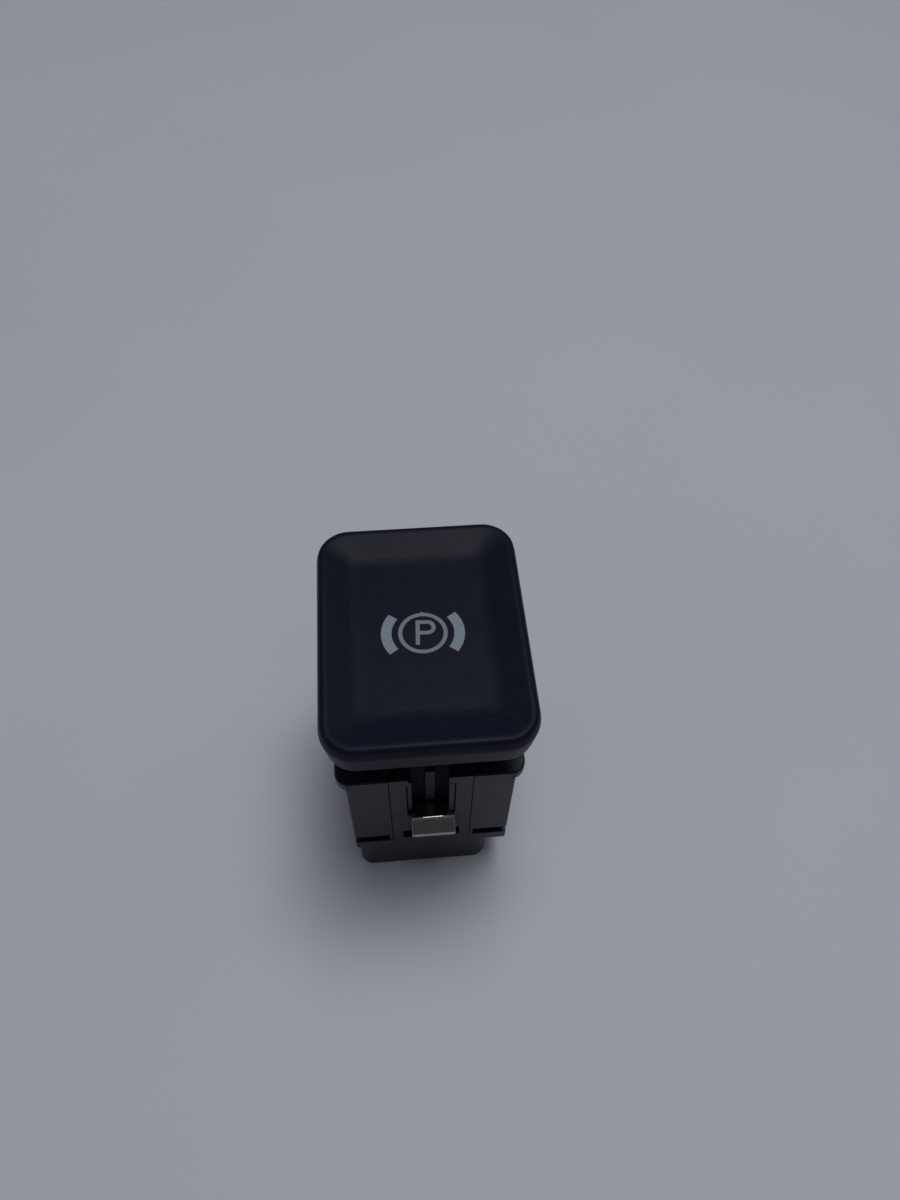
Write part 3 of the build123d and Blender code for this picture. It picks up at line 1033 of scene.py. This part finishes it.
@dataclass
class BrakeSign:
    """The common parking brake sign: a P in a ring, between two arcs, as thin inlaid shapes."""

    cap: ButtonCap
    centre: Tuple[float, float] = (0.02, 0.02)
    turn: float = -1.1
    ring_outer: float = 3.22
    ring_inner: float = 2.68
    ring_nib: float = 0.16
    ring_height: float = 0.963
    ring_steps: int = 72
    arc_outer: float = 5.46
    arc_inner: float = 4.08
    arc_half_angle: float = 37.0
    arc_height: float = 0.925
    arc_steps: int = 24
    letter_turn: float = -3.0
    letter_left: float = -0.95
    letter_low: float = -1.81
    letter_high: float = 1.93
    letter_stroke: float = 0.54
    bowl_width: float = 2.62
    bowl_low: float = -0.25
    bowl_steps: int = 20
    proud: float = 0.02
    sunk: float = 0.25

    def placed(self, outline: Iterable[Point2D], height: float, turn: float) -> Outline:
        """An outline drawn round the origin, brought to its place on the dish.

        Args:
            outline: The points.
            height: Factor on its height.
            turn: Degrees that it is turned anticlockwise.

        Returns:
            The points in the frame, in millimetres.
        """
        angle = math.radians(turn)
        points = []
        for x, y in outline:
            y *= height
            across = x * math.cos(angle) - y * math.sin(angle)
            along = x * math.sin(angle) + y * math.cos(angle)
            points.append((across + self.centre[0], along + self.centre[1]))
        return points

    def ring(self) -> List[Outline]:
        """The ring, with a small nib at its top.

        Returns:
            Its outer and inner outline.
        """
        outer, inner = (arc_points((0, 0), radius, 90, 450, self.ring_steps)[:-1]
                        for radius in (self.ring_outer, self.ring_inner))
        outer[0] = (0.0, self.ring_outer + self.ring_nib)
        return [self.placed(outline, self.ring_height, self.turn) for outline in (outer, inner)]

    def arc(self, side: int) -> List[Outline]:
        """One of the two arcs.

        Args:
            side: -1 for the left one and 1 for the right one.

        Returns:
            Its outline.
        """
        middle = 0 if side > 0 else 180
        start, end = middle - self.arc_half_angle, middle + self.arc_half_angle
        outer = arc_points((0, 0), self.arc_outer, start, end, self.arc_steps)
        inner = arc_points((0, 0), self.arc_inner, end, start, self.arc_steps)
        return [self.placed(outer + inner, self.arc_height, self.turn)]

    def letter(self) -> List[Outline]:
        """The letter.

        Returns:
            Its outline, and that of the hole in its bowl.
        """
        left, right = self.letter_left, self.letter_left + self.bowl_width
        low, high = self.bowl_low, self.letter_high
        stroke = self.letter_stroke
        radius = (high - low) / 2
        middle = (right - radius, (high + low) / 2)
        outer = [(left, self.letter_low), (left + stroke, self.letter_low), (left + stroke, low)]
        outer += arc_points(middle, radius, -90, 90, self.bowl_steps)
        outer.append((left, high))
        inner = [(left + stroke, low + stroke)]
        inner += arc_points(middle, radius - stroke, -90, 90, self.bowl_steps)
        inner.append((left + stroke, high - stroke))
        return [self.placed(outline, 1.0, self.letter_turn) for outline in (outer, inner)]

    def raise_outline(self, mesh: bmesh.types.BMesh, outlines: Sequence[Outline]) -> None:
        """Adds a flat shape with thickness to a mesh.

        Args:
            mesh: The mesh under construction.
            outlines: The shape's outline, and that of its hole if it has one.
        """
        floor = self.cap.dish_floor()
        layers = []
        for height in (floor - self.sunk, floor + self.proud):
            chains = [contour(mesh, outline, height) for outline in outlines]
            edges = [mesh.edges.new(pair) for chain in chains
                     for pair in zip(chain, chain[1:] + chain[:1])]
            bmesh.ops.triangle_fill(mesh, use_beauty=True, edges=edges)
            layers.append(chains)
        for lower, upper in zip(*layers):
            for index in range(len(lower)):
                after = (index + 1) % len(lower)
                mesh.faces.new((lower[index], lower[after], upper[after], upper[index]))

    def build(self) -> None:
        """Builds the arcs as one piece on the button, and the ring with its letter as another."""
        shapes = {
            "sign_arcs": (Finish.SIGN, (self.arc(-1), self.arc(1))),
            "sign_letter": (Finish.SIGN_THIN, (self.ring(), self.letter())),
        }
        for name, (finish, parts) in shapes.items():
            mesh = bmesh.new()
            for outlines in parts:
                self.raise_outline(mesh, outlines)
            new_piece(name, finished_mesh(mesh, name), finish, Body.BUTTON, Slot.SIGN)


# Retaining clips


@dataclass
class RetainingClips:
    """Two bent strips of spring steel, swept along their path by Geometry Nodes.

    Sizes are in millimetres and repeat the frame's solid clips, but for a rounder upper bend.
    """

    width: float = 6.2
    shift: float = 0.2
    thickness: float = 0.4
    edge: float = 0.09
    leg: float = 5.0
    leg_inset: float = 1.7
    bend_out: float = 0.8
    reach: float = 2.5
    drop: float = 1.95
    foot_drop: float = 6.6
    foot_tuck: float = 0.3
    over: float = 19.95
    front: float = 14.5
    corner_radius: float = 0.5
    bend_radius: float = 0.95
    nose_radius: float = 0.6
    arc_steps: int = 10
    edge_steps: int = 3
    merge: float = 0.0001
    sharp_angle: float = 50.0

    def path(self) -> List[Vector]:
        """The strip's middle line.

        Returns:
            Distance from the middle and height of each point.
        """
        nose = self.over - self.drop
        corners = [
            (self.front - self.leg_inset, self.over - self.leg, 0.0),
            (self.front - self.leg_inset, self.over, self.corner_radius),
            (self.front + self.bend_out, self.over, self.bend_radius),
            (self.front + self.reach, nose, self.nose_radius),
            (self.front - self.foot_tuck, nose - self.foot_drop, 0.0),
        ]
        return rounded_path(corners, self.arc_steps)

    def tree(self) -> NodeTree:
        """The sweep: the path with a rounded strip section, capped at its ends.

        Returns:
            The tree.
        """
        tree = NodeTree("strip_sweep")
        section = tree.node("GeometryNodeCurvePrimitiveQuadrilateral", {}, {
            "Width": tree.size("Width", self.width),
            "Height": tree.size("Thickness", self.thickness),
        })
        rounded = tree.node("GeometryNodeFilletCurve", {"mode": "POLY"}, {
            "Curve": section,
            "Radius": tree.size("Edge radius", self.edge),
            "Count": self.edge_steps,
        })
        values = {"Curve": tree.start(), "Normal": (1.0, 0.0, 0.0)}
        path = tree.node("GeometryNodeSetCurveNormal", {"mode": "FREE"}, values)
        values = {"Curve": path, "Profile Curve": rounded, "Fill Caps": True}
        tree.close(tree.node("GeometryNodeCurveToMesh", {}, values), Finish.STEEL.material())
        return tree

    def build(self) -> None:
        """Builds both clips and puts them in place of the plain ones."""
        tree = self.tree()
        points = self.path()
        for side, node in ((-1, "front_clip"), (1, "rear_clip")):
            curve = bpy.data.curves.new("strip_path", "CURVE")
            curve.dimensions = "3D"
            spline = curve.splines.new("POLY")
            spline.points.add(len(points) - 1)
            for target, point in zip(spline.points, points):
                target.co = (self.shift * MM, side * point.x * MM, point.y * MM, 1.0)
            mesh = bmesh.new()
            mesh.from_mesh(tree.run(linked("strip_path", curve)))
            bmesh.ops.remove_doubles(mesh, verts=mesh.verts, dist=self.merge * MM)
            data = finished_mesh(mesh, node, self.sharp_angle)
            piece = new_piece(f"{node}_strip", data, Finish.STEEL, Body.HOUSING, Slot.STEEL)
            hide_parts(node)


# Switching mat


@dataclass
class SwitchingMat:
    """The silicone mat: a soft-edged web with two domes under the plunger's feet.

    Sizes are in millimetres.
    """

    web: float = 0.8
    window: float = 7.8
    edge: float = 0.2
    edge_slope: float = 0.3
    corner: float = 0.8
    dome_place: float = 7.1
    dome_foot: float = 2.5
    dome_neck: float = 1.68
    dome_steps: int = 5
    longest_step: float = 0.8
    flare: float = 0.35
    crown: float = 0.4
    keep: float = 0.4
    round_steps: int = 40
    sharp_angle: float = 60.0

    def add_web(self, mesh: bmesh.types.BMesh, low: Vector, high: Vector) -> None:
        """Adds the flat web, as contours from its outer edge over to the window and back below.

        Args:
            mesh: The mat's mesh under construction.
            low: The mat's lowest corner.
            high: Its highest corner.
        """
        top = low.z + self.web
        width, depth = high.x - low.x, high.y - low.y
        edge, window = self.edge, self.window
        around = [
            (width, depth, self.corner, low.z),
            (width, depth, self.corner, top - edge),
            (width - edge, depth - edge, self.corner, top - edge * self.edge_slope),
            (width - 2 * edge, depth - 2 * edge, self.corner, top),
            (window + 2 * edge, window + 2 * edge, self.corner, top),
            (window, window, self.corner - edge, top - edge),
            (window, window, self.corner - edge, low.z),
        ]
        rings = [contour(mesh, rounded_outline(size_x, size_y, corner), height)
                 for size_x, size_y, corner, height in around]
        skin(mesh, rings, closed=True)

    def add_dome(self, mesh: bmesh.types.BMesh, place: float, low: Vector, high: Vector) -> None:
        """Adds one dome, turned from its section, that flares into the web at its foot.

        Args:
            mesh: The mat's mesh under construction.
            place: The dome's place along Y.
            low: The mat's lowest corner.
            high: Its highest corner.
        """
        top = low.z + self.web
        corners = [
            (self.dome_foot + self.flare, top - self.web / 2, 0.0),
            (self.dome_foot + self.flare, top, 0.0),
            (self.dome_foot, top, self.flare),
            (self.dome_neck, high.z, self.crown),
            (self.crown, high.z, 0.0),
        ]
        rings = []
        for radius, height in rounded_path(corners, self.dome_steps, self.longest_step):
            ring = arc_points((0.0, place), radius, 0, 360, self.round_steps)[:-1]
            rings.append(contour(mesh, ring, height))
        skin(mesh, rings)

    def build(self) -> None:
        """Builds the mat in place of the plain one, with a mesh of its own."""
        low, high = box_mm("switching_mat")
        mesh = bmesh.new()
        self.add_web(mesh, low, high)
        for side in (-1, 1):
            self.add_dome(mesh, side * self.dome_place, low, high)
        data = finished_mesh(mesh, "silicone_mat", self.sharp_angle)
        piece = new_piece("silicone_mat", data, Finish.SILICONE, Body.HOUSING, Slot.MAT)
        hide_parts("switching_mat")
        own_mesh(piece)


# Housing and inner parts


@dataclass
class Mouldings:
    """The housing's mouldings and the plunger, with the small radii that a mould leaves on edges.

    Sizes are in millimetres and degrees.
    """

    edge: float = 0.09
    segments: int = 2
    least_angle: float = 40.0
    flat_angle: float = 0.5
    merge: float = 0.0005
    finishes: Dict[str, Tuple[Finish, Body, Slot]] = field(
        default_factory=lambda: {
            "housing_shell": (Finish.HOUSING, Body.HOUSING, Slot.HOUSING),
            "housing_base": (Finish.HOUSING, Body.HOUSING, Slot.HOUSING),
            "plunger": (Finish.CARRIER, Body.BUTTON, Slot.HOUSING),
        }
    )

    def merged(self, source: bpy.types.Mesh) -> bpy.types.Mesh:
        """Joins a frame mesh's loose triangles into flat faces.

        Args:
            source: The frame's mesh, which stays as it is.

        Returns:
            The joined copy.
        """
        mesh = bmesh.new()
        mesh.from_mesh(source)
        bmesh.ops.remove_doubles(mesh, verts=mesh.verts, dist=self.merge * MM)
        bmesh.ops.dissolve_limit(
            mesh, angle_limit=math.radians(self.flat_angle), verts=mesh.verts, edges=mesh.edges
        )
        return plain_mesh(mesh, "merged")

    def softened(self, source: bpy.types.Mesh) -> bpy.types.Mesh:
        """Rounds the sharp edges of a frame mesh.

        Args:
            source: The frame's mesh, which stays as it is.

        Returns:
            The rounded copy.
        """
        carrier = linked("moulding", self.merged(source))
        carrier.data.shade_smooth()
        bevel = carrier.modifiers.new("edges", "BEVEL")
        bevel.width = self.edge * MM
        bevel.segments = self.segments
        bevel.limit_method = "ANGLE"
        bevel.angle_limit = math.radians(self.least_angle)
        bevel.miter_outer = "MITER_ARC"
        shading = carrier.modifiers.new("shading", "WEIGHTED_NORMAL")
        shading.mode = "FACE_AREA"
        shading.weight = 100
        graph = bpy.context.evaluated_depsgraph_get()
        data = bpy.data.meshes.new_from_object(carrier.evaluated_get(graph))
        bpy.data.objects.remove(carrier)
        return data

    def build(self, nodes: Dict[str, bpy.types.Object]) -> None:
        """Builds the softened mouldings in place of the plain ones.

        Args:
            nodes: The frame's nodes by name.
        """
        for name, (finish, body, slot) in self.finishes.items():
            dress(nodes[name], finish)
            data = self.softened(nodes[name].data)
            piece = new_piece(f"{name}_moulding", data, finish, body, slot)
            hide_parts(name)


@dataclass(frozen=True)
class TerminalCones:
    """One small cone hung round every terminal, with its sizes in millimetres.

    Attributes:
        name: The piece's name.
        sides: Sides of a cone.
        bands: Bands from its bottom to its top.
        bottom: Its radius at the bottom, to a corner.
        top: Its radius at the top, to a corner.
        depth: Its height.
        turn: Degrees that it is turned about its terminal.
        finish: What it is made of.
        slot: The record's material slot.
    """

    name: str
    sides: int
    bands: int
    bottom: float
    top: float
    depth: float
    turn: float
    finish: Finish
    slot: Slot

    def build(self, places: Sequence[Point2D], ceiling: float) -> None:
        """Builds the cones with Geometry Nodes.

        Args:
            places: Where the terminals are along X and Y, in metres.
            ceiling: Height of the surface that the cones hang from, in metres.
        """
        tree = NodeTree(self.name)
        cone = tree.node("GeometryNodeMeshCone", {}, {
            "Vertices": self.sides,
            "Side Segments": self.bands,
            "Radius Top": tree.size("Top radius", self.top),
            "Radius Bottom": tree.size("Bottom radius", self.bottom),
            "Depth": tree.size("Depth", self.depth),
        }, output="Mesh")
        values = {"Geometry": cone, "Rotation": (0.0, 0.0, math.radians(self.turn))}
        turned = tree.node("GeometryNodeTransform", {}, values)
        values = {"Points": tree.start(), "Instance": turned}
        tree.close(tree.node("GeometryNodeInstanceOnPoints", {}, values), self.finish.material())
        mesh = bpy.data.meshes.new("terminal_points")
        mesh.from_pydata([(x, y, ceiling - self.depth * MM) for x, y in places], [], [])
        data = tree.run(linked("terminal_points", mesh))
        new_piece(self.name, data, self.finish, Body.HOUSING, self.slot)


@dataclass
class InnerParts:
    """Board, light parts and terminals, with their solder and the socket's collars."""

    finishes: Dict[Finish, Tuple[str, ...]] = field(
        default_factory=lambda: {
            Finish.LENS: ("symbol_lens",),
            Finish.CLEAR: ("light_guide",),
            Finish.WHITE_FRAME: ("led_reflector",),
            Finish.DIODE: ("led_front", "led_rear"),
            Finish.BOARD: ("circuit_board",),
            Finish.SMALL_PART: ("resistor_left", "resistor_right", "diode"),
            Finish.STEEL: ("front_clip", "rear_clip"),
            Finish.SOFT_CAP: ("button_cap",),
        }
    )
    pin_count: int = 10
    solder: TerminalCones = TerminalCones(
        "solder_joints", 16, 3, 0.5, 0.85, 0.7, 0.0, Finish.TIN, Slot.PIN
    )
    collars: TerminalCones = TerminalCones(
        "terminal_collars", 4, 1, 0.9, 1.06065, 0.45, 45.0, Finish.HOUSING, Slot.HOUSING
    )
    socket_ceiling_mm: float = 7.4

    def build(self, nodes: Dict[str, bpy.types.Object]) -> None:
        """Dresses the inner parts and adds what repeats at each terminal.

        Args:
            nodes: The frame's nodes by name.
        """
        for finish, names in self.finishes.items():
            for name in names:
                dress(nodes[name], finish)
        places = []
        for number in range(1, self.pin_count + 1):
            dress(nodes[f"pin_{number}"], Finish.TIN)
            low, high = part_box(f"pin_{number}")
            places.append(((low.x + high.x) / 2, (low.y + high.y) / 2))
        self.solder.build(places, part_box("circuit_board")[0].z)
        self.collars.build(places, self.socket_ceiling_mm * MM)


# Stage


@dataclass(frozen=True)
class PhotoCamera:
    """The camera, at the photograph's place.

    Attributes:
        place: Its place, in millimetres.
        heading: Degrees that it is turned from +Y towards -X.
        pitch: Degrees that it looks down.
        roll: Degrees that it is rolled.
        focal_px: Focal length in pixels of the photograph.
        long_side_px: The photograph's long side.
        sensor: Sensor size along the long side, in millimetres.
        nearest: The nearest thing that it sees, in metres.
        farthest: The farthest, in metres.
    """

    place: Point = (-3.59, -62.54, 144.14)
    heading: float = -6.39
    pitch: float = 55.47
    roll: float = 1.71
    focal_px: float = 900.0
    long_side_px: float = 1200.0
    sensor: float = 36.0
    nearest: float = 0.005
    farthest: float = 20.0

    def build(self) -> None:
        """Makes the camera and the scene's use of it."""
        data = bpy.data.cameras.new("photo_camera")
        data.sensor_width = self.sensor
        data.lens = self.sensor * self.focal_px / self.long_side_px
        data.clip_start = self.nearest
        data.clip_end = self.farthest
        matrix = Matrix.Translation(Vector(self.place) * MM)
        for angle, axis in ((self.heading, "Z"), (90.0 - self.pitch, "X"), (self.roll, "Z")):
            matrix = matrix @ Matrix.Rotation(math.radians(angle), 4, axis)
        camera = linked("photo_camera", data)
        camera.matrix_world = matrix
        bpy.context.scene.camera = camera


@dataclass(frozen=True)
class Softbox:
    """A rectangular soft light aimed at the switch, with its sizes in metres."""

    name: str
    place: Point
    width: float
    height: float
    power: float
    aim: Point = (0.0, 0.0, 0.025)

    def build(self) -> None:
        """Makes the light."""
        data = bpy.data.lights.new(self.name, "AREA")
        data.shape = "RECTANGLE"
        data.size = self.width
        data.size_y = self.height
        data.energy = self.power
        way = Vector(self.aim) - Vector(self.place)
        turn = way.to_track_quat("-Z", "Y").to_matrix().to_4x4()
        light = linked(self.name, data)
        light.matrix_world = Matrix.Translation(Vector(self.place)) @ turn


@dataclass(frozen=True)
class Stage:
    """Pale table under a broad overhead light and a faint strip, in a room dimmer low down."""

    floor_radius: float = 2.5
    floor_sides: int = 96
    lights: Tuple[Softbox, ...] = (
        Softbox("key_softbox", (0.13, 0.15, 1.05), 0.42, 0.42, 3.75),
        Softbox("front_strip", (0.02, -0.14, 1.1), 0.3, 0.04, 0.3),
    )
    sky_low: Colour = (0.062, 0.065, 0.074)
    sky_high: Colour = (0.135, 0.144, 0.16)
    sky_up: Point = (0.08, 0.1, 0.99)
    sky_from: float = 0.5
    sky_to: float = 1.0

    def floor(self) -> None:
        """Makes the round table top."""
        mesh = bmesh.new()
        bmesh.ops.create_circle(
            mesh, cap_ends=True, segments=self.floor_sides, radius=self.floor_radius
        )
        top = linked("table_top", plain_mesh(mesh, "table_top"))
        dress(top, Finish.TABLE)

    def sky(self) -> None:
        """A soft surround, bright overhead and dim towards the horizon."""
        world = bpy.data.worlds.new("soft_surround")
        world.use_nodes = True
        graph = Graph(world.node_tree)
        values = {0: graph.node("ShaderNodeTexCoord", output="Generated"), 1: self.sky_up}
        up = graph.node(
            "ShaderNodeVectorMath", {"operation": "DOT_PRODUCT"}, values, output="Value"
        )
        values = {"Value": up, "From Min": self.sky_from, "From Max": self.sky_to}
        spread = graph.node("ShaderNodeMapRange", {"interpolation_type": "SMOOTHSTEP"}, values)
        values = {"Color": graph.mix(spread, self.sky_low, self.sky_high)}
        background = graph.node("ShaderNodeBackground", {}, values)
        graph.node("ShaderNodeOutputWorld", {}, {"Surface": background})
        bpy.context.scene.world = world

    def build(self) -> None:
        """Makes the table, the surround and the lights."""
        self.floor()
        self.sky()
        for light in self.lights:
            light.build()
        bpy.context.scene.view_settings.view_transform = "Standard"


def main() -> None:
    """Builds the switch's looks in order."""
    logging.basicConfig(level=logging.INFO, format="%(name)s: %(message)s")
    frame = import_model()
    PhotoCamera().build()
    Stage().build()
    Mouldings().build(frame["nodes"])
    InnerParts().build(frame["nodes"])
    cap = ButtonCap()
    cap.build()
    BrakeSign(cap).build()
    RetainingClips().build()
    SwitchingMat().build()


if __name__ == "__main__":
    main()
